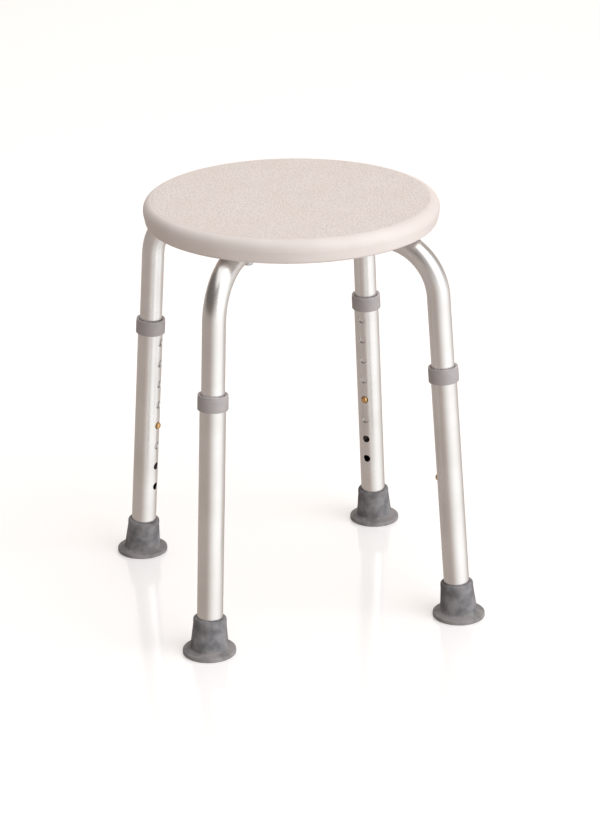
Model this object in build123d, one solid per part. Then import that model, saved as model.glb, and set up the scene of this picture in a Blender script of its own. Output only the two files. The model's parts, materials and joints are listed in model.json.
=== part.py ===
"""Round shower stool with four legs that adjust in height, in millimetres.

+Z is up and the origin is on the floor, under the middle of the seat. The legs stand on the
diagonals of X and Y, and the front faces -Y. The hollow moulded seat is screwed to two bent
tubes that lie in grooves in its underside and cross under it. Each bent tube's two ends slide in
leg tubes, which a snap button on a leaf spring locks at one of eight holes. The feet are rubber.
"""
from build123d import *
import os
from math import atan2, cos, hypot, radians, sin, sqrt, tan

# Overall sizes
seat_d = 320.0          # widest diameter of the seat
seat_t = 25.0           # seat thickness
seat_height = 454.0     # floor to seat top, with each button in the hole named by set_hole
stance_r = 202.0        # stool's centre line to the middle of each foot, on the floor
splay = 4.2             # lean of each leg from upright, degrees

# Seat, a hollow blow moulding
seat_wall = 3.0
seat_top_round = 10.0
seat_foot_round = 4.0
seat_draft = 2.5        # how far the seat's side draws in towards its underside
seat_side_top = 12.0    # widest level of the seat, below its top
boss_wall = 4.5         # plastic round each insert
drain_d = 6.0
drain_r = 70.0
groove_deep = 7.5       # how far the bent tubes' runs are let into the seat's underside
groove_fit = 0.1        # seat to a tube in its groove

# Tubes
upper_od = 25.0         # bent tubes
upper_wall = 1.2
lower_wall = 1.2        # leg tubes
slide_fit = 0.3         # bent tube to the leg tube's bore and to the collar's lip
bend_r = 62.0           # centre-line radius of every bend
cross_flat = 30.0       # half length of the lowered run where the tubes cross, to its corners
cross_gap = 0.1         # between the two tubes where they cross
tail = 41.0             # bent tube's length below its button

# Height setting
hole_d = 8.5
hole_round = 0.3        # deburred edge of each hole
hole_pitch = 25.4
hole_count = 8
set_hole = 5            # the button's hole, counted from the top
first_hole = 25.3       # leg tube's top to its first hole
bend_gap = 1.3          # collar to the start of the bend, at the lowest setting

# Collar, a plastic cap on the leg tube's top
collar_wall = 2.4
collar_h = 17.0
collar_lip = 2.0        # plastic above the leg tube's end
collar_dish = 1.2       # how far the collar's top dips towards the bent tube
collar_round = 0.9
push_fit = 0.05         # plastic or rubber pushed over a tube

# Rubber foot
foot_d = 57.5
foot_lip = 4.8          # height of the flange at its rim
foot_crown = 6.5        # height of the flange where it meets the sleeve
foot_h = 40.5           # floor to the sleeve's top
foot_round = 1.2
sleeve_top_wall = 3.6   # rubber round the tube at the sleeve's top
sleeve_base_wall = 6.25
sleeve_round = 2.0
foot_floor = 8.0        # rubber under the washer
tread_w = 2.0
tread_deep = 1.2
tread_step = 6.5
tread_count = 3
washer_t = 1.5

# Snap button and its leaf spring
button_d = 7.4
button_proud = 2.6      # how far the button stands out of the leg tube
button_round = 2.2
button_hole_d = 9.2     # hole in the bent tube
leaf_t = 0.8
leaf_w = 8.0
leaf_inset = 1.7        # bent tube's bore to the button's leaf
leaf_back = 0.9         # bent tube's bore to the back leaf
leaf_reach = 39.0       # button to the leaf's hinge line
leaf_tail = 8.0
leaf_gap = 0.05

# Fasteners, M6
screw_d = 6.0
screw_clear = 0.3       # round a screw in the tubes
thread_gap = 0.05       # screw to insert
head_d = 10.5
head_h = 3.3
socket_af = 4.0
socket_deep = 2.2
screw_in = 12.0         # screw's length in its insert
screw_from_bend = 14.0  # bend's inner end to the screw
insert_wall = 1.8
saddle_d = 14.0
saddle_t = 1.2
saddle_wrap = 1.4       # how far the saddle washer reaches up round the tube
joggle_from_screw = 22.5
nut_af = 10.0
nut_h = 6.0
nut_collar = 0.4        # step in to the nut's round collar
nut_room = 1.5          # round the nut in its pocket

# Sizes that follow
lower_od = upper_od + 2 * (slide_fit + lower_wall)
seat_under = seat_height - seat_t
run_z = seat_under + groove_deep - upper_od / 2    # axis of the runs under the seat
groove_top = run_z + upper_od / 2 + groove_fit
cross_z = run_z - upper_od - cross_gap             # the lower tube's axis where they cross
lean = radians(splay)
corner_r = stance_r - run_z * tan(lean)            # where a leg's axis meets the run's axis
bend_reach = bend_r * tan(radians(90 - splay) / 2)
bend_start = run_z / cos(lean) - bend_reach        # along the leg's axis, from the floor
screw_r = corner_r - bend_reach - screw_from_bend
joggle_r = screw_r - joggle_from_screw
joggle_run = Vector(joggle_r - cross_flat, run_z - cross_z)     # the joggle's sloping part
joggle_slope = atan2(joggle_run.Y, joggle_run.X)
joggle_room = 0.98 * joggle_run.length / 2 / tan(joggle_slope / 2)   # largest bend that its length takes
joggle_bend_r = min(bend_r, joggle_room)
raise_travel = hole_pitch * (set_hole - 1)         # leg slides out, and the seat goes up
lower_travel = hole_pitch * (hole_count - set_hole)
collar_top = bend_start - bend_gap - lower_travel
leg_top = collar_top - collar_lip
leg_bottom = foot_floor + washer_t
hole_heights = [leg_top - first_hole - i * hole_pitch for i in range(hole_count)]
button_u = hole_heights[set_hole - 1]
tube_end = button_u - tail
upper_bore_r = upper_od / 2 - upper_wall
leaf_x = upper_bore_r - leaf_inset                 # outer face of the button's leaf
hinge_x = leaf_x - leaf_t / 2
hinge_u = button_u + leaf_reach
button_tip = lower_od / 2 + button_proud

corners = {
    "front_left": (-sqrt(0.5), -sqrt(0.5)),
    "front_right": (sqrt(0.5), -sqrt(0.5)),
    "rear_right": (sqrt(0.5), sqrt(0.5)),
    "rear_left": (-sqrt(0.5), sqrt(0.5)),
}


def leg_frame(out):
    """A leg's own axes: Z up along the leg from the floor, X towards the stool's centre."""
    along = Vector(-sin(lean) * out[0], -sin(lean) * out[1], cos(lean))
    inward = Vector(-cos(lean) * out[0], -cos(lean) * out[1], -sin(lean))
    return Plane(origin=(stance_r * out[0], stance_r * out[1], 0), x_dir=inward, z_dir=along)


def turned(points, rounds=()):
    """A piece turned about Z from its half section, with some of its corners rounded."""
    face = make_face(Polyline(*points, close=True))
    for point, radius in rounds:
        face = fillet(face.vertices().sort_by_distance(point)[0], radius)
    return revolve(Plane.XZ * face, Axis.Z)


def rod(radius, low, high):
    """An upright cylinder on the Z axis, between two heights."""
    return Pos(0, 0, low) * extrude(Circle(radius), high - low)


def cross_bore(radius, height, reach):
    """A bore from the Z axis outwards along +X."""
    return Pos(0, 0, height) * Rot(0, 90, 0) * extrude(Circle(radius), reach)


def slab(low, high):
    """A block between two opposite corners."""
    size = [b - a for a, b in zip(low, high)]
    middle = [(a + b) / 2 for a, b in zip(low, high)]
    return Pos(*middle) * Box(*size)


def at_screws(piece):
    """Four copies of a piece on the Z axis, one at each seat screw."""
    return [Pos(x * screw_r, y * screw_r, 0) * piece for x, y in corners.values()]


def bent_path(out, lowered):
    """Centre line of one bent tube, from end to end; the lowered one passes under the other."""
    end_r, end_z = stance_r - tube_end * sin(lean), tube_end * cos(lean)
    half, radii = [(end_r, end_z), (corner_r, run_z)], [bend_r]
    if lowered:
        half += [(joggle_r, run_z), (cross_flat, cross_z)]
        radii += [joggle_bend_r, joggle_bend_r]
    points = [(x * out[0], x * out[1], z) for x, z in half]
    points += [(-x, -y, z) for x, y, z in reversed(points)]
    return FilletPolyline(*points, radius=radii + radii[::-1])


def along(path, radius):
    """A solid round bar along a path."""
    start = Plane(origin=path @ 0, z_dir=path % 0)
    return sweep(start * Circle(radius), path)


def seat():
    """Hollow seat, grooved for the tubes, with a solid boss at each insert and at the nut."""
    r, top, low = seat_d / 2, seat_height, seat_under
    widest = top - seat_side_top
    outer = [(0, low), (r - seat_draft, low), (r, widest), (r, top), (0, top)]
    body = turned(outer, [((r, top), seat_top_round), ((r - seat_draft, low), seat_foot_round)])
    w = seat_wall
    inner = [
        (0, low + w), (r - seat_draft - w, low + w), (r - w, widest), (r - w, top - w), (0, top - w)
    ]
    hollow = turned(inner, [((r - w, top - w), seat_top_round - w)])
    insert_r = screw_d / 2 + thread_gap + insert_wall
    pocket_r = nut_af / sqrt(3) + nut_room
    for post in at_screws(rod(insert_r + boss_wall, low, top)):
        hollow -= post
    hollow -= rod(pocket_r + boss_wall, low, top)
    paths = [bent_path(corners["front_left"], False), bent_path(corners["front_right"], True)]
    groove_r = upper_od / 2 + groove_fit
    for path in paths:
        hollow -= along(path, groove_r + w)
    body -= hollow
    for path in paths:
        body -= along(path, groove_r)
    for hole in at_screws(rod(insert_r, low, groove_top + screw_in)):
        body -= hole
    body -= rod(pocket_r, low, groove_top + nut_h + nut_room)
    for turn in range(4):
        body -= Rot(0, 0, 90 * turn) * Pos(drain_r, 0, 0) * rod(drain_d / 2, low, low + 2 * w)
    return body


def insert():
    """Threaded brass bush moulded into the seat."""
    inner = screw_d / 2 + thread_gap
    bush = rod(inner + insert_wall, groove_top, groove_top + screw_in)
    return bush - rod(inner, groove_top, groove_top + screw_in)


def capscrew(head_low, tip):
    """Round-headed screw with a hexagon socket, its head at the bottom."""
    head_top = head_low + head_h
    screw = turned(
        [(0, head_low), (head_d / 2, head_low), (head_d / 2, head_top), (0, head_top)],
        [((head_d / 2, head_low), head_h / 2)],
    )
    screw += rod(screw_d / 2, head_top, tip)
    socket = extrude(RegularPolygon(socket_af / sqrt(3), 6), socket_deep)
    return screw - Pos(0, 0, head_low) * socket


def saddle(out):
    """Washer with a hollow top that fits the round underside of a run."""
    under = run_z - upper_od / 2
    ring = rod(saddle_d / 2, under - saddle_t, under + saddle_wrap)
    ring -= rod(screw_d / 2 + screw_clear, under - saddle_t, under + saddle_wrap)
    placed = Pos(screw_r * out[0], screw_r * out[1], 0) * ring
    run = Plane(origin=(0, 0, run_z), z_dir=(out[0], out[1], 0))
    return placed - run * extrude(Circle(upper_od / 2 + push_fit), stance_r)


def bent_tube(out, lowered):
    """One bent tube through two opposite legs, with its button, screw and bolt holes."""
    path = bent_path(out, lowered)
    tube = along(path, upper_od / 2) - along(path, upper_bore_r)
    hole = rod(screw_d / 2 + screw_clear, cross_z - upper_od, seat_height)
    for side in (1, -1):
        leg = leg_frame((side * out[0], side * out[1]))
        tube -= leg * cross_bore(button_hole_d / 2, button_u, upper_od)
        tube -= Pos(side * screw_r * out[0], side * screw_r * out[1], 0) * hole
    return tube - hole


def centre_nut():
    """Lock nut on the centre bolt, in the seat's pocket, with a rounded collar on top."""
    nut = extrude(RegularPolygon(nut_af / sqrt(3), 6), nut_h * 0.75)
    nut += rod(nut_af / 2 - nut_collar, nut_h * 0.75, nut_h)
    return Pos(0, 0, groove_top) * (nut - rod(screw_d / 2 + thread_gap, 0, nut_h))


def on_outside(edge):
    """True for a hole's edge on the leg tube's outer face, and false for one in its bore."""
    middle = edge @ 0.5
    return hypot(middle.X, middle.Y) > (lower_od - lower_wall) / 2


def leg_tube():
    """Outer tube with its row of holes facing the stool's centre, their outer edges rounded."""
    tube = rod(lower_od / 2, leg_bottom, leg_top)
    tube -= rod(lower_od / 2 - lower_wall, leg_bottom, leg_top)
    for height in hole_heights:
        tube -= cross_bore(hole_d / 2, height, lower_od)
    rims = tube.edges().filter_by(GeomType.BSPLINE).filter_by(on_outside)
    return fillet(rims, hole_round)


def collar():
    """Cap over the leg tube's top, whose lip guides the bent tube."""
    outer, bore = lower_od / 2 + collar_wall, lower_od / 2 + push_fit
    lip = upper_od / 2 + slide_fit
    low, top, under = collar_top - collar_h, collar_top, collar_top - collar_lip
    edge = outer - 2 * collar_round
    points = [
        (bore, low), (outer, low), (outer, top), (edge, top), (lip, top - collar_dish), (lip, under),
        (bore, under),
    ]
    rounds = [((outer, low), collar_round), ((outer, top), collar_round)]
    return turned(points, rounds)


def foot(out):
    """Rubber foot: a flat flange on the floor and a tapered sleeve that leans with the leg."""
    rim, neck = foot_d / 2, lower_od / 2 + sleeve_base_wall
    flange = turned(
        [(0, 0), (rim, 0), (rim, foot_lip), (neck, foot_crown), (0, foot_crown)],
        [((rim, 0), foot_round), ((rim, foot_lip), foot_round)],
    )
    for ring in range(tread_count):
        r = rim - (ring + 1) * tread_step
        flange -= rod(r, 0, tread_deep) - rod(r - tread_w, 0, tread_deep)
    leg = leg_frame(out)
    top = foot_h / cos(lean)
    mouth = lower_od / 2 + sleeve_top_wall
    sleeve = turned(
        [(0, foot_lip), (neck, foot_lip), (mouth, top), (0, top)], [((mouth, top), sleeve_round)]
    )
    bore = rod(lower_od / 2 + push_fit, foot_floor, top)
    return Pos(stance_r * out[0], stance_r * out[1], 0) * flange + leg * sleeve - leg * bore


def foot_washer():
    """Steel disc that keeps the tube from cutting through the rubber."""
    return rod(lower_od / 2 - push_fit, foot_floor, foot_floor + washer_t)


def snap_arm():
    """The button and the leaf it is riveted to, which hinges at the spring's bend."""
    half = leaf_w / 2
    arm = slab((leaf_x - leaf_t, -half, button_u - leaf_tail), (leaf_x, half, hinge_u))
    arm += Pos(hinge_x, 0, hinge_u) * Rot(90, 0, 0) * Cylinder(leaf_t / 2, leaf_w)
    button = extrude(Circle(button_d / 2), button_tip - leaf_x)
    button = fillet(button.edges().sort_by(Axis.Z)[-1], button_round)
    return arm + Pos(leaf_x, 0, button_u) * Rot(0, 90, 0) * button


def snap_spring():
    """The spring's round bend and its back leaf, which rests against the tube."""
    back_x = -(upper_bore_r - leaf_back) + leaf_t / 2
    middle, r = (hinge_x + back_x) / 2, (hinge_x - back_x) / 2
    low = hinge_u + leaf_t / 2 + leaf_gap
    half = leaf_w / 2
    ring = extrude(Circle(r + leaf_t / 2) - Circle(r - leaf_t / 2), leaf_w)
    bend = Pos(middle, half, low) * Rot(90, 0, 0) * ring
    bend -= slab((middle - 2 * r, -leaf_w, low - 2 * r), (middle + 2 * r, leaf_w, low))
    leaf_low = (back_x - leaf_t / 2, -half, button_u - leaf_tail)
    return bend + slab(leaf_low, (back_x + leaf_t / 2, half, low))


def save(name, *pieces):
    """Write one node's STEP file, its pieces as separate solids."""
    solids = [solid for piece in pieces for solid in piece.solids()]
    export_step(solids[0] if len(solids) == 1 else Compound(solids), f"parts/{name}.step")


def main():
    os.makedirs("parts", exist_ok=True)
    save("seat", seat())
    save("seat_inserts", *at_screws(insert()))
    save("upper_frame_tube", bent_tube(corners["front_left"], lowered=False))
    save("lower_frame_tube", bent_tube(corners["front_right"], lowered=True))
    head_low = run_z - upper_od / 2 - saddle_t - head_h
    save("seat_screws", *at_screws(capscrew(head_low, groove_top + screw_in)))
    save("saddle_washers", *[saddle(out) for out in corners.values()])
    save("centre_bolt", capscrew(cross_z - upper_od / 2 - head_h, groove_top + nut_h))
    save("centre_nut", centre_nut())
    for corner, out in corners.items():
        leg = leg_frame(out)
        save(f"leg_tube_{corner}", leg * leg_tube())
        save(f"collar_{corner}", leg * collar())
        save(f"foot_{corner}", foot(out))
        save(f"foot_washer_{corner}", leg * foot_washer())
        save(f"snap_arm_{corner}", leg * snap_arm())
        save(f"snap_spring_{corner}", leg * snap_spring())
    print("screws at radius", round(screw_r, 2), "button at", round(button_u, 2), "up the leg")


main()
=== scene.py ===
# %% [markdown]
# # A shower stool that adjusts in height
#
# The real stool is a moulded seat on two bent aluminium tubes. Each of its four legs is an outer tube
# that slides on the bent tube and locks at one of eight holes. A grey collar caps each leg's top and a
# rubber foot its bottom. The engineering model already holds every piece at its real size, so this file
# gives the stool its looks. It makes the soft and rounded pieces again as finer meshes, and paints
# every surface with a finish worked out from formulas. Nothing here moves or resizes a piece.

# %% Load the engineering model
import json
from math import cos, degrees, pi, radians, sin, sqrt

import bmesh
import bpy
from mathutils import Matrix, Vector


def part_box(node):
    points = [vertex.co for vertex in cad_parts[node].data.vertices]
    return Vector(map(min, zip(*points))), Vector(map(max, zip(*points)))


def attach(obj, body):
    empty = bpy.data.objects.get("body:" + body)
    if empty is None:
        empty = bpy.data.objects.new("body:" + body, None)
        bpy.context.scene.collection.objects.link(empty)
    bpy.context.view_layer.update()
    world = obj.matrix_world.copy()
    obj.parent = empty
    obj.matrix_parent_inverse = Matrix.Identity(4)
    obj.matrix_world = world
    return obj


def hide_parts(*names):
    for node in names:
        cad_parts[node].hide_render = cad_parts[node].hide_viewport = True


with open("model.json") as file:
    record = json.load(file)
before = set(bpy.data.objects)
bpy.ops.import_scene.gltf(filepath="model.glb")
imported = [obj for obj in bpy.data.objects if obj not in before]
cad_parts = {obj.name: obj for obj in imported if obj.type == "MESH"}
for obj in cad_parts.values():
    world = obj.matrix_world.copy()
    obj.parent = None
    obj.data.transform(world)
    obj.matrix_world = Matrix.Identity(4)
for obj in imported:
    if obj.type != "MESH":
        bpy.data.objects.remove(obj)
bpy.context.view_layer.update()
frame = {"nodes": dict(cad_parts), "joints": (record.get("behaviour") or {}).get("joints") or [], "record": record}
MM = 0.001
CORNERS = ("front_left", "front_right", "rear_right", "rear_left")

# %% [markdown]
# ## Where the legs stand
#
# Every leg leans a few degrees towards the stool's centre. The joint that sets a leg's height slides
# along the leg, so its axis gives the lean, and the mount under the foot gives the place on the floor.
# A matrix made from the two lets a collar be modelled upright at the origin, where numbers are simple,
# and then set down on its leg. That is clearer than working out leaning coordinates by hand.

# %% Read each leg's axes from the frame
JOINTS = {joint["name"]: joint for joint in frame["joints"]}
MOUNTS = {mount["name"]: mount for mount in frame["record"]["mounts"]}


def upright_place(corner):
    """Matrix that puts a piece on the floor at a foot, with its X axis towards the stool's centre."""
    foot = Vector(MOUNTS[f"foot_face_{corner}"]["pos_m"])
    inward = -Vector((foot.x, foot.y, 0)).normalized()
    across = Vector((0, 0, 1)).cross(inward)
    turned = Matrix((inward, across, Vector((0, 0, 1)))).transposed()
    return Matrix.Translation(foot) @ turned.to_4x4()


def leaning_place(corner):
    """The same, with the Z axis up along the leg."""
    along = -Vector(JOINTS[f"leg_height_{corner}"]["axis"])
    foot = upright_place(corner)
    across = foot.col[1].to_3d()
    turned = Matrix((across.cross(along), across, along)).transposed()
    return Matrix.Translation(foot.translation) @ turned.to_4x4()


LEAN = Vector((0, 0, 1)).angle(leaning_place("front_left").col[2].to_3d())
STANCE = Vector(MOUNTS["foot_face_front_left"]["pos_m"]).length
LEG_RADIUS = 14 * MM
LEG_TOP = (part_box("leg_tube_front_left")[1].z - LEG_RADIUS * sin(LEAN)) / cos(LEAN)
print("lean", round(degrees(LEAN), 2), "degrees, leg top", round(LEG_TOP / MM, 1), "mm up the leg")

# %% [markdown]
# ## Turning a half section into a piece
#
# Collars and feet are round pieces with many small steps and roundings. A lathe makes such a shape from
# its half section, and so does the spin operator. The section needs only its corners. Each corner
# that is soft on the real piece is rounded by a bevel on that one vertex, so the curve comes from the
# tool and not from a list of points.

# %% The lathe
SPIN_STEPS = 112
CORNER_STEPS = 6
SHARP_ANGLE = radians(38)


def section(corners):
    """A closed half section in X and Z. Each corner is (x, z, rounding), in millimetres."""
    shape = bmesh.new()
    points = [shape.verts.new((x * MM, 0, z * MM)) for x, z, _ in corners]
    for first, second in zip(points, points[1:] + points[:1]):
        shape.edges.new((first, second))
    for point, (_, _, rounding) in zip(points, corners):
        if rounding:
            bmesh.ops.bevel(
                shape, geom=[point], offset=rounding * MM, offset_type="OFFSET",
                affect="VERTICES", segments=CORNER_STEPS, profile=0.5, material=-1,
            )
    return shape


def lathe(shape):
    """Spins a section about Z, and closes its seam and its poles."""
    on_axis = [edge for edge in shape.edges if all(abs(v.co.x) < 1e-7 for v in edge.verts)]
    bmesh.ops.delete(shape, geom=on_axis, context="EDGES_FACES")
    bmesh.ops.spin(
        shape, geom=shape.verts[:] + shape.edges[:], cent=(0, 0, 0), axis=(0, 0, 1), dvec=(0, 0, 0),
        angle=2 * pi, steps=SPIN_STEPS, use_merge=True, use_normal_flip=False, use_duplicate=False,
    )
    bmesh.ops.remove_doubles(shape, verts=shape.verts[:], dist=1e-6)
    bmesh.ops.recalc_face_normals(shape, faces=shape.faces[:])
    return shape


def finished(shape, name, body, node, material):
    """Makes the mesh an object that rides on a body and stands for a node of the frame."""
    mesh = bpy.data.meshes.new(name)
    shape.to_mesh(mesh)
    shape.free()
    mesh.shade_smooth()
    mesh.set_sharp_from_angle(angle=SHARP_ANGLE)
    mesh.materials.append(material)
    piece = bpy.data.objects.new(name, mesh)
    bpy.context.scene.collection.objects.link(piece)
    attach(piece, body)
    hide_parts(node)
    return piece


# %% [markdown]
# ## Finishes as formulas
#
# Each finish is a node tree, and most of its nodes only add, multiply or compare numbers. Written out
# one by one they hide the idea, so a small class wraps an output and lets Python's own signs add
# the Math nodes. A line such as `1 - mask * 0.2` then reads as what it does. Colours and vectors go
# through Mix and Vector Math, because a Math node would turn a colour grey.

# %% A socket that takes part in sums
class Value:
    """One output of a node, for use in Python expressions."""

    def __init__(self, finish, socket):
        self.finish = finish
        self.socket = socket

    def math(self, operation, first, second):
        return self.finish.node("ShaderNodeMath", {"operation": operation}, {0: first, 1: second})

    def __add__(self, other):
        return self.math("ADD", self, other)

    def __sub__(self, other):
        return self.math("SUBTRACT", self, other)

    def __rsub__(self, other):
        return self.math("SUBTRACT", other, self)

    def __mul__(self, other):
        return self.math("MULTIPLY", self, other)

    def __pow__(self, other):
        return self.math("POWER", self, other)

    __radd__ = __add__
    __rmul__ = __mul__


class Tree:
    """The node tree of a material or a world, and its source of coordinates."""

    def __init__(self, owner, coordinates):
        owner.use_nodes = True
        self.nodes = owner.node_tree.nodes
        self.links = owner.node_tree.links
        self.place = self.node("ShaderNodeTexCoord", out=coordinates)

    def node(self, kind, settings=None, sockets=None, out=0):
        """Adds a node: its settings first, then the values or links of its sockets."""
        made = self.nodes.new(kind)
        for name, value in (settings or {}).items():
            if name == "stops":
                self.set_stops(made.color_ramp, value)
            else:
                setattr(made, name, value)
        for name, value in (sockets or {}).items():
            self.join(value, made.inputs[name])
        return Value(self, made.outputs[out])

    def set_stops(self, ramp, stops):
        ramp.elements[0].position, ramp.elements[1].position = stops[0][0], stops[-1][0]
        ramp.elements[0].color, ramp.elements[1].color = stops[0][1], stops[-1][1]
        for position, colour in stops[1:-1]:
            ramp.elements.new(position).color = colour

    def join(self, value, socket):
        if isinstance(value, Value):
            self.links.new(value.socket, socket)
        else:
            socket.default_value = value

    def mix(self, share, low, high):
        return self.node("ShaderNodeMix", {"data_type": "RGBA"}, {0: share, 6: low, 7: high}, out=2)

    def step(self, value, start, end):
        """0 before start, 1 after end, and a smooth step between."""
        sockets = {"Value": value, "From Min": start, "From Max": end}
        return self.node("ShaderNodeMapRange", {"interpolation_type": "SMOOTHSTEP"}, sockets)

    def stretched(self, scale):
        return self.node(
            "ShaderNodeVectorMath", {"operation": "MULTIPLY"}, {0: self.place, 1: scale}
        )

    def towards(self, direction):
        """Cosine between the place's direction and another, or 0 where it would be less."""
        sockets = {0: self.place, 1: direction}
        cosine = self.node("ShaderNodeVectorMath", {"operation": "DOT_PRODUCT"}, sockets, out="Value")
        return cosine.math("MAXIMUM", cosine, 0.0)

    def noise(self, scale, detail=3.0, place=None):
        sockets = {"Vector": place or self.place, "Scale": scale, "Detail": detail}
        return self.node("ShaderNodeTexNoise", None, sockets)

    def cells(self, scale, smoothness=0.35):
        settings = {"feature": "SMOOTH_F1"}
        sockets = {"Vector": self.place, "Scale": scale, "Smoothness": smoothness}
        return self.node("ShaderNodeTexVoronoi", settings, sockets)

    def bump(self, height, depth, below=None):
        """A normal from a height of 0 to 1, as deep as depth in metres."""
        sockets = {"Height": height, "Strength": 1.0, "Distance": depth}
        if below:
            sockets["Normal"] = below
        return self.node("ShaderNodeBump", None, sockets)

    def axis(self, index):
        return self.node("ShaderNodeSeparateXYZ", None, {0: self.place}, out=index)

    def size_of(self, value):
        return self.node("ShaderNodeMath", {"operation": "ABSOLUTE"}, {0: value})


class Finish(Tree):
    """One material. Its shader's fixed sockets are set by name, and the rest are fed values."""

    def __init__(self, name, fixed):
        self.material = bpy.data.materials.new(name)
        super().__init__(self.material, "Object")
        self.shader = self.nodes["Principled BSDF"]
        for socket, value in fixed.items():
            self.shader.inputs[socket].default_value = value

    def feed(self, **sockets):
        """Feeds what varies over the surface: base_color, roughness and normal."""
        for name, value in sockets.items():
            self.join(value, self.shader.inputs[name.replace("_", " ").title()])
        return self.material

    def up_the_leg(self):
        """Height along a leg, in metres. One formula serves all four, because they stand in a square."""
        out = (self.size_of(self.axis(0)) + self.size_of(self.axis(1))) * (1 / sqrt(2))
        return self.axis(2) * cos(LEAN) + (STANCE - out) * sin(LEAN)


def colour(red, green, blue):
    return (red, green, blue, 1.0)


# %% [markdown]
# ## The seat's plastic
#
# The seat is blow moulded in one warm off-white plastic. Its mould has a fine pebble on the flat top,
# for grip when wet, and is polished round the rim. A pebble is a field of small rounded grains, which
# smooth Voronoi cells give, and a little noise keeps them from looking like a honeycomb. The grains'
# valleys get a painted shade of pinkish grey. A mask by radius stops all of it at the rim.

# %% Seat plastic
seat_low, seat_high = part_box("seat")
SEAT_RADIUS = (seat_high.x - seat_low.x) / 2
FIELD_EDGE = SEAT_RADIUS - 10.5 * MM
PEBBLES_PER_METRE = 430
PEBBLE_DEPTH = 0.45 * MM
SEAT_BEIGE = colour(0.805, 0.738, 0.708)
SEAT_LIGHT_BEIGE = colour(0.835, 0.770, 0.742)
# Painted shade: the pinkish grey that darkens the pebble valleys.
VALLEY_PAINTED_SHADE = colour(0.60, 0.53, 0.49)
GRAIN_TIP = colour(0.93, 0.90, 0.86)


def seat_plastic():
    finish = Finish("seat_plastic", {"IOR": 1.49, "Specular IOR Level": 0.45})
    flat = finish.stretched((1, 1, 0))
    radius = finish.node("ShaderNodeVectorMath", {"operation": "LENGTH"}, {0: flat}, out="Value")
    inside = finish.step(radius, FIELD_EDGE + 1.2 * MM, FIELD_EDGE)
    on_top = finish.step(finish.axis(2), seat_high.z - 1.2 * MM, seat_high.z - 0.2 * MM)
    field = inside * on_top
    grain = finish.cells(PEBBLES_PER_METRE)
    fine = finish.noise(900, 4.0)
    cloud = finish.noise(26, 3.0)
    valley = finish.step(grain, 0.3, 0.75)
    warm = finish.mix(finish.step(cloud, 0.35, 0.65), SEAT_BEIGE, SEAT_LIGHT_BEIGE)
    # Painted shade: the pebble valleys of the top field are darkened towards the pinkish grey.
    valley_shaded = finish.mix(valley * field * 0.42, warm, VALLEY_PAINTED_SHADE)
    speck = finish.mix(finish.step(fine, 0.60, 0.72) * field * 0.35, valley_shaded, GRAIN_TIP)
    pebble = finish.bump((1 - grain) * field, PEBBLE_DEPTH)
    skin = finish.bump(fine, 0.02 * MM, pebble)
    rough = field * 0.16 + cloud * 0.08 + 0.34
    return finish.feed(base_color=speck, roughness=rough, normal=skin)


SEAT_PLASTIC = seat_plastic()
print("pebbled field out to", round(FIELD_EDGE / MM, 1), "mm of", round(SEAT_RADIUS / MM, 1))

# %% [markdown]
# ## The tubes' aluminium
#
# The tubes are drawn aluminium with a satin anodised skin. Drawing leaves very fine lines along the
# tube, and handling leaves soft patches that are a little duller. The lines are noise squeezed across
# the tube and stretched along it. Under the seat the tubes lie flat, so there the lines would
# run the wrong way, and a mask by height fades them out.

# %% Aluminium
RUN_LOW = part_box("upper_frame_tube")[1].z - 45 * MM


def aluminium(name, base, shade):
    finish = Finish(name, {"Metallic": 1.0})
    lines = finish.noise(1.0, 4.0, finish.stretched((1500, 1500, 9)))
    patches = finish.noise(22, 4.0)
    upright = finish.step(finish.axis(2), RUN_LOW + 20 * MM, RUN_LOW)
    drawn = lines * upright + (1 - upright) * 0.5
    tone = finish.mix(finish.step(patches, 0.3, 0.7), base, shade)
    rough = patches * 0.10 + drawn * 0.08 + 0.20
    return finish.feed(base_color=tone, roughness=rough, normal=finish.bump(drawn, 0.012 * MM))


TUBE_ALUMINIUM = aluminium("tube_aluminium", colour(0.87, 0.865, 0.86), colour(0.80, 0.79, 0.78))
LEG_ALUMINIUM = aluminium("leg_aluminium", colour(0.86, 0.85, 0.84), colour(0.79, 0.775, 0.76))
print("aluminium", TUBE_ALUMINIUM.name, LEG_ALUMINIUM.name)

# %% [markdown]
# ## Grey plastic and rubber
#
# The collars are a hard grey plastic with a satin skin and slightly scuffed edges. The feet are a
# darker, softer rubber that scatters light, turns a lighter grey towards the floor and has no clear highlight.
# Both would look like toys in one flat grey, so each has a broad mottle, a fine grain and a change with
# height along the leg.

# %% Collar plastic and foot rubber
COLLAR_LIP = 2.0 * MM
COLLAR_HEIGHT = 17.0 * MM
COLLAR_LOW = LEG_TOP + COLLAR_LIP - COLLAR_HEIGHT


def collar_plastic():
    finish = Finish("collar_plastic", {"IOR": 1.55, "Specular IOR Level": 0.8})
    mottle = finish.noise(160, 4.0)
    grain = finish.noise(2600, 2.0)
    height = finish.up_the_leg() - COLLAR_LOW
    scuffed = finish.step(height, COLLAR_HEIGHT - 1.4 * MM, COLLAR_HEIGHT - 0.4 * MM)
    grey = finish.mix(mottle, colour(0.37, 0.345, 0.350), colour(0.46, 0.430, 0.435))
    worn = finish.mix(scuffed * finish.step(mottle, 0.3, 0.6) * 0.5, grey, colour(0.58, 0.56, 0.56))
    rough = mottle * 0.12 + 0.38
    return finish.feed(base_color=worn, roughness=rough, normal=finish.bump(grain, 0.03 * MM))


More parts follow.
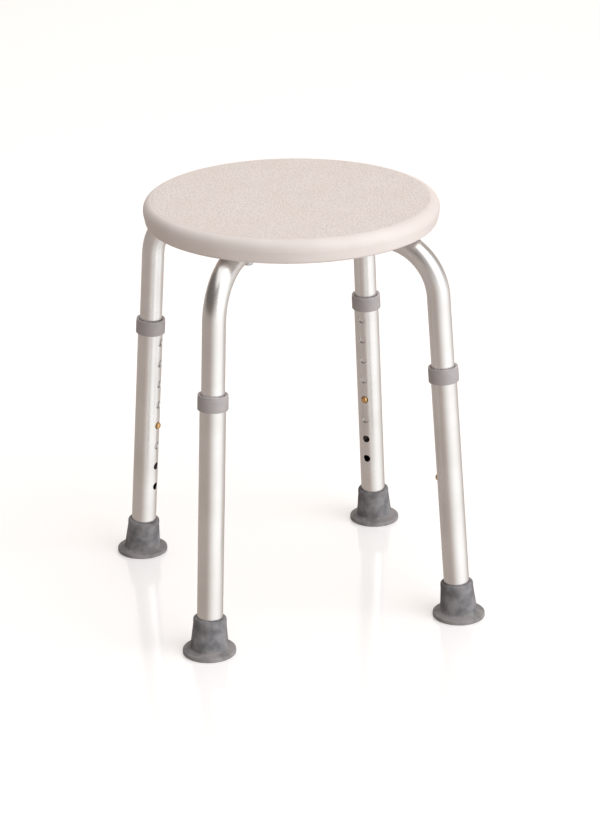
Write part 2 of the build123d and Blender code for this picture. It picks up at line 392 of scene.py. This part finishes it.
def foot_rubber():
    finish = Finish("foot_rubber", {"IOR": 1.5, "Specular IOR Level": 0.35})
    mottle = finish.step(finish.noise(75, 6.0), 0.34, 0.66)
    grain = finish.noise(1900, 3.0)
    # Lighter towards the floor: a paler grey, in mottled patches, fades in from 11 mm down to 4 mm.
    near_floor = finish.step(finish.axis(2), 11 * MM, 4 * MM)
    grey = finish.mix(mottle, colour(0.150, 0.150, 0.160), colour(0.290, 0.285, 0.298))
    floor_lightened = finish.mix(near_floor * (0.35 + mottle * 0.45), grey, colour(0.36, 0.335, 0.325))
    rough = mottle * 0.12 + 0.62
    return finish.feed(base_color=floor_lightened, roughness=rough, normal=finish.bump(grain, 0.06 * MM))


COLLAR_PLASTIC = collar_plastic()
FOOT_RUBBER = foot_rubber()
print("collars start", round(COLLAR_LOW / MM, 1), "mm up the leg")

# %% [markdown]
# ## Brass and steel
#
# The snap buttons are plated a coppery brass, in bright and duller patches. The spring leaves, screws,
# bolt and washers are steel. They are small or hidden, but a stool is looked at from below too, so
# each has its own tone and fine grain.

# %% Small metal
def small_metal(name, bright, dull, rough_low, grain_scale=900):
    finish = Finish(name, {"Metallic": 1.0})
    patches = finish.noise(260, 4.0)
    grain = finish.noise(grain_scale, 3.0)
    tone = finish.mix(finish.step(patches, 0.35, 0.65), bright, dull)
    rough = patches * 0.16 + grain * 0.06 + rough_low
    return finish.feed(base_color=tone, roughness=rough, normal=finish.bump(grain, 0.02 * MM))


BUTTON_BRASS = small_metal("button_brass", colour(0.80, 0.50, 0.22), colour(0.60, 0.34, 0.14), 0.18)
INSERT_BRASS = small_metal("insert_brass", colour(0.80, 0.64, 0.34), colour(0.62, 0.47, 0.22), 0.22)
SPRING_STEEL = small_metal("spring_steel", colour(0.50, 0.50, 0.52), colour(0.36, 0.36, 0.39), 0.26)
FASTENER_STEEL = small_metal("fastener_steel", colour(0.66, 0.66, 0.68), colour(0.50, 0.50, 0.53), 0.22)
print("small metals", 4)

# %% [markdown]
# ## Paint the frame's own pieces
#
# Tubes with holes, screws and springs already have their exact shape in the engineering model, so they
# stay and only take a finish. The record says which slot each node belongs to, so one loop over it
# paints them all.

# %% Assign finishes by slot
FINISHES = {
    "seat_plastic": SEAT_PLASTIC,
    "tube_aluminium": TUBE_ALUMINIUM,
    "leg_aluminium": LEG_ALUMINIUM,
    "collar_plastic": COLLAR_PLASTIC,
    "foot_rubber": FOOT_RUBBER,
    "button_brass": BUTTON_BRASS,
    "spring_steel": SPRING_STEEL,
    "fastener_steel": FASTENER_STEEL,
    "insert_brass": INSERT_BRASS,
}

for subpart in frame["record"]["subparts"]:
    node = frame["nodes"][subpart["node"]]
    for place in node.material_slots:
        place.material = FINISHES[subpart["material_slot"]]

# %% [markdown]
# ## Collars
#
# A collar is a moulded ring that is pushed over the leg's top. Its top dips a little towards the bent
# tube and has a thin raised rim, and its lower edge is rounded so that a hand doesn't catch on it. It is
# a turned shape, so the lathe makes it, and the leg's matrix sets it down.

# %% Collars
COLLAR_SECTION = [
    (14.05, 0.0, 0.3),
    (16.4, 0.0, 0.9),
    (16.4, 13.3, 0.15),
    (16.15, 13.7, 0.15),
    (16.15, 17.0, 0.8),
    (14.7, 17.0, 0.3),
    (12.8, 15.8, 0.2),
    (12.8, 15.0, 0.0),
    (14.05, 15.0, 0.0),
]


def collar(corner):
    shape = lathe(section(COLLAR_SECTION))
    lift = Matrix.Translation((0, 0, COLLAR_LOW))
    bmesh.ops.transform(shape, matrix=leaning_place(corner) @ lift, verts=shape.verts[:])
    name = f"collar_ring_{corner}"
    return finished(shape, name, f"leg_{corner}", f"collar_{corner}", COLLAR_PLASTIC)


COLLARS = [collar(corner) for corner in CORNERS]
print("collar faces", len(COLLARS[0].data.polygons))

# %% [markdown]
# ## Rubber feet
#
# A foot is one piece of rubber: a flat flange on the floor, with rings cut into its underside for grip,
# and a tapered sleeve with a thick rolled mouth that grips the tube. The flange lies flat but the sleeve
# leans with the leg. So the whole foot is turned upright in one piece, and then the part above the
# neck is set down with the leaning matrix and the rest with the upright one.

# %% Feet
FOOT_SECTION = [
    (0.0, 0.0, 0.0),
    (28.75, 0.0, 1.2),
    (28.75, 4.8, 1.2),
    (20.6, 6.5, 0.8),
    (17.9, 34.5, 0.6),
    (18.1, 36.0, 0.6),
    (17.8, 40.5, 1.9),
    (14.05, 40.5, 0.7),
    (14.05, 8.0, 0.0),
    (0.0, 8.0, 0.0),
]
TREAD_RADII = (22.25, 15.75, 9.25)
TREAD_WIDTH = 2.0
TREAD_DEPTH = 1.2
NECK_TOP = 7.4 * MM


def tread():
    """The stepped underside of the foot, from the centre outwards."""
    steps = []
    for radius in reversed(TREAD_RADII):
        inner = radius - TREAD_WIDTH
        steps += [(inner, 0, 0.2), (inner, TREAD_DEPTH, 0), (radius, TREAD_DEPTH, 0), (radius, 0, 0.2)]
    return steps


def foot(corner):
    shape = lathe(section(FOOT_SECTION[:1] + tread() + FOOT_SECTION[1:]))
    sleeve = [vert for vert in shape.verts if vert.co.z > NECK_TOP]
    flange = [vert for vert in shape.verts if vert.co.z <= NECK_TOP]
    bmesh.ops.transform(shape, matrix=leaning_place(corner), verts=sleeve)
    bmesh.ops.transform(shape, matrix=upright_place(corner), verts=flange)
    name = f"rubber_foot_{corner}"
    return finished(shape, name, f"leg_{corner}", f"foot_{corner}", FOOT_RUBBER)


FEET = [foot(corner) for corner in CORNERS]
print("foot faces", len(FEET[0].data.polygons))

# %% [markdown]
# ## Floor
#
# A studio shot of a pale product wants a floor with no edge in sight. A wide disc does it, with a faint
# gloss for the soft reflection under each foot, and a faint glow that keeps it white. The floor is
# left out of the light that the stool itself gets, as if the stool stood on a narrow table between
# cards, because a bright floor all round would wash out the roundness of the tubes.

# %% Floor
FLOOR_RADIUS = 16
FLOOR_GLOW = 0.26


def floor():
    shape = bmesh.new()
    bmesh.ops.create_circle(shape, cap_ends=True, radius=FLOOR_RADIUS, segments=96)
    mesh = bpy.data.meshes.new("floor")
    shape.to_mesh(mesh)
    shape.free()
    finish = Finish("floor_white", {"Specular IOR Level": 0.5, "Emission Strength": FLOOR_GLOW})
    cloud = finish.noise(1.5, 2.0)
    tone = finish.mix(cloud, colour(0.93, 0.93, 0.93), colour(0.95, 0.95, 0.95))
    shiny = cloud * 0.04 + 0.09
    mesh.materials.append(finish.feed(base_color=tone, emission_color=tone, roughness=shiny))
    ground = bpy.data.objects.new("floor", mesh)
    bpy.context.scene.collection.objects.link(ground)
    ground.visible_glossy = False
    ground.visible_diffuse = False
    return ground


floor()
print("floor radius", FLOOR_RADIUS, "m")

# %% [markdown]
# ## Light
#
# One very large softbox overhead lights the seat and the floor evenly, and a smaller one to the right
# lights the seat's rim from that side. The world fills the rest. It is brightest behind the key light,
# like a white wall, and falls to a warm grey on the other side, which gives each tube its bright band
# and its darker edge. A weak glow at the far right lifts the tubes' other edge, and one behind the
# stool is what the glossy floor mirrors. A power of the angle's cosine makes each glow fade smoothly: the
# higher the power, the narrower the glow.

# %% Softboxes and world
KEY_SIDE = Vector((0.584, -0.812, 0)).normalized()
EDGE_SIDE = Vector((0.975, 0.220, 0)).normalized()
BACKDROP_SIDE = Vector((0.278, 0.892, 0.356)).normalized()
OVERHEAD_HEIGHT, OVERHEAD_SIZE, OVERHEAD_WATTS = 6.0, 8.0, 212
KEY_HEIGHT, KEY_DISTANCE, KEY_SIZE, KEY_WATTS = 3.0, 4.0, 5.0, 104
SEAT_LEVEL = 0.3
WORLD_LOW = 0.47
WORLD_HIGH = 0.14
KEY_GLOW, KEY_POWER = 0.84, 1.5
EDGE_GLOW, EDGE_POWER = 0.14, 2.0
BACKDROP_GLOW, BACKDROP_POWER = 0.95, 7.0
SHADE_TINT = colour(1.0, 0.87, 0.79)
GLOW_TINT = colour(1.0, 0.99, 0.975)


def softbox(name, place, aim, size, watts):
    """A square lamp that faces a point."""
    light = bpy.data.lights.new(name, "AREA")
    light.shape = "SQUARE"
    light.size = size
    light.energy = watts
    lamp = bpy.data.objects.new(name, light)
    lamp.location = place
    lamp.rotation_euler = (Vector(aim) - Vector(place)).to_track_quat("-Z", "Y").to_euler()
    bpy.context.scene.collection.objects.link(lamp)
    return lamp


key_place = KEY_SIDE * KEY_DISTANCE + Vector((0, 0, KEY_HEIGHT))
softbox("overhead", (0, 0, OVERHEAD_HEIGHT), (0, 0, 0), OVERHEAD_SIZE, OVERHEAD_WATTS)
softbox("key", key_place, (0, 0, SEAT_LEVEL), KEY_SIZE, KEY_WATTS)


def studio_world():
    """A warm grey surround with a glow on three sides."""
    world = bpy.data.worlds.new("studio")
    bpy.context.scene.world = world
    tree = Tree(world, "Generated")
    above = tree.step(tree.axis(2), -0.05, 0.15)
    grey = (1 - above) * (WORLD_LOW - WORLD_HIGH) + WORLD_HIGH
    key = tree.towards(KEY_SIDE) ** KEY_POWER * KEY_GLOW
    edge = tree.towards(EDGE_SIDE) ** EDGE_POWER * EDGE_GLOW
    backdrop = tree.towards(BACKDROP_SIDE) ** BACKDROP_POWER * BACKDROP_GLOW
    tint = tree.mix(tree.step(key + edge, 0.0, 0.6), SHADE_TINT, GLOW_TINT)
    background = tree.nodes["Background"]
    tree.join(tint, background.inputs["Color"])
    tree.join(grey + key + edge + backdrop, background.inputs["Strength"])


studio_world()
bpy.context.scene.view_settings.view_transform = "Standard"
print("lights", 2, "and the world")

# %% [markdown]
# ## Camera
#
# The view is from a little above and to the left of the stool's front, with a long lens, so that the legs
# stay nearly parallel. Azimuth turns round the stool, pitch looks down and roll levels the frame.

# %% Camera
AZIMUTH = radians(-17.32)
PITCH = radians(21.08)
ROLL = radians(-0.70)
DISTANCE = 3.0545
LENS = 121.6
AIM_HEIGHT = 0.2105
AIM_RIGHT = 0.0066

back = Vector((sin(AZIMUTH) * cos(PITCH), -cos(AZIMUTH) * cos(PITCH), sin(PITCH)))
right = Vector((cos(AZIMUTH), sin(AZIMUTH), 0))
camera = bpy.data.objects.new("camera", bpy.data.cameras.new("camera"))
bpy.context.scene.collection.objects.link(camera)
camera.data.lens = LENS
camera.location = Vector((0, 0, AIM_HEIGHT)) + right * AIM_RIGHT + back * DISTANCE
looking = (-back).to_track_quat("-Z", "Y").to_matrix() @ Matrix.Rotation(ROLL, 3, "Z")
camera.rotation_euler = looking.to_euler()
bpy.context.scene.camera = camera
print("camera height", round(camera.location.z, 3), "m")
